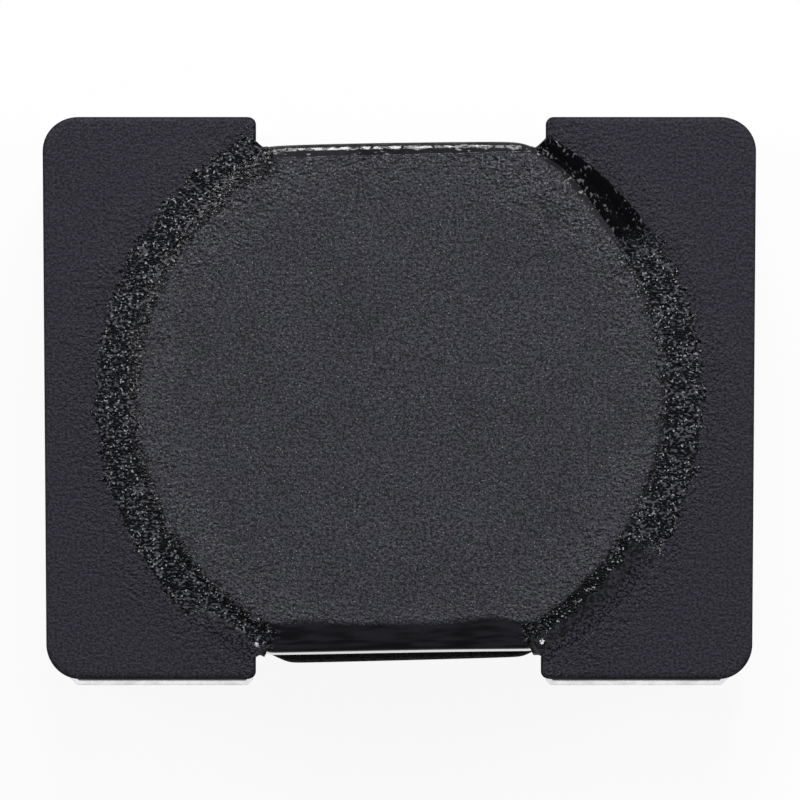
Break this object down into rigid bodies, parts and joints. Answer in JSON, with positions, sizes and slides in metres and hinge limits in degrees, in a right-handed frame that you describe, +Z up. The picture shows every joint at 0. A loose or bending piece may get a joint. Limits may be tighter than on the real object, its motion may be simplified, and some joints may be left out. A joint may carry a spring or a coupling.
{
  "type": "shielded smd inductor",
  "caption": "Shielded surface-mount power inductor: a wound ferrite drum bonded between two C-shaped ferrite shield halves on tinned terminal plates.",
  "frame": {"origin": "centre of the part's outline in the plane of the terminals' undersides", "axes": "+X along the part's length, from one terminal to the other; +Y across it, along the gap between the shield halves; +Z up, away from the board"},
  "size_m": [0.0126, 0.0102, 0.005],
  "materials": {
    "drum_ferrite": "fine sintered grain, satin",
    "shield_ferrite": "ground sintered ferrite, satin",
    "enamelled_copper": "clear amber enamel over copper",
    "tinned_plate": "matte tin plating",
    "solder": "solidified solder, bright with a fine grain",
    "black_epoxy": "cured black epoxy, glossy and lumpy"
  },
  "bodies": {
    "root": {"drum_core": "drum_ferrite", "winding": "enamelled_copper", "shield_left": "shield_ferrite", "shield_right": "shield_ferrite", "terminal_left": "tinned_plate", "terminal_right": "tinned_plate", "solder_left": "solder", "solder_right": "solder", "top_resin_left": "black_epoxy", "top_resin_right": "black_epoxy", "base_resin_left": "black_epoxy", "base_resin_right": "black_epoxy"}
  },
  "joints": []
}
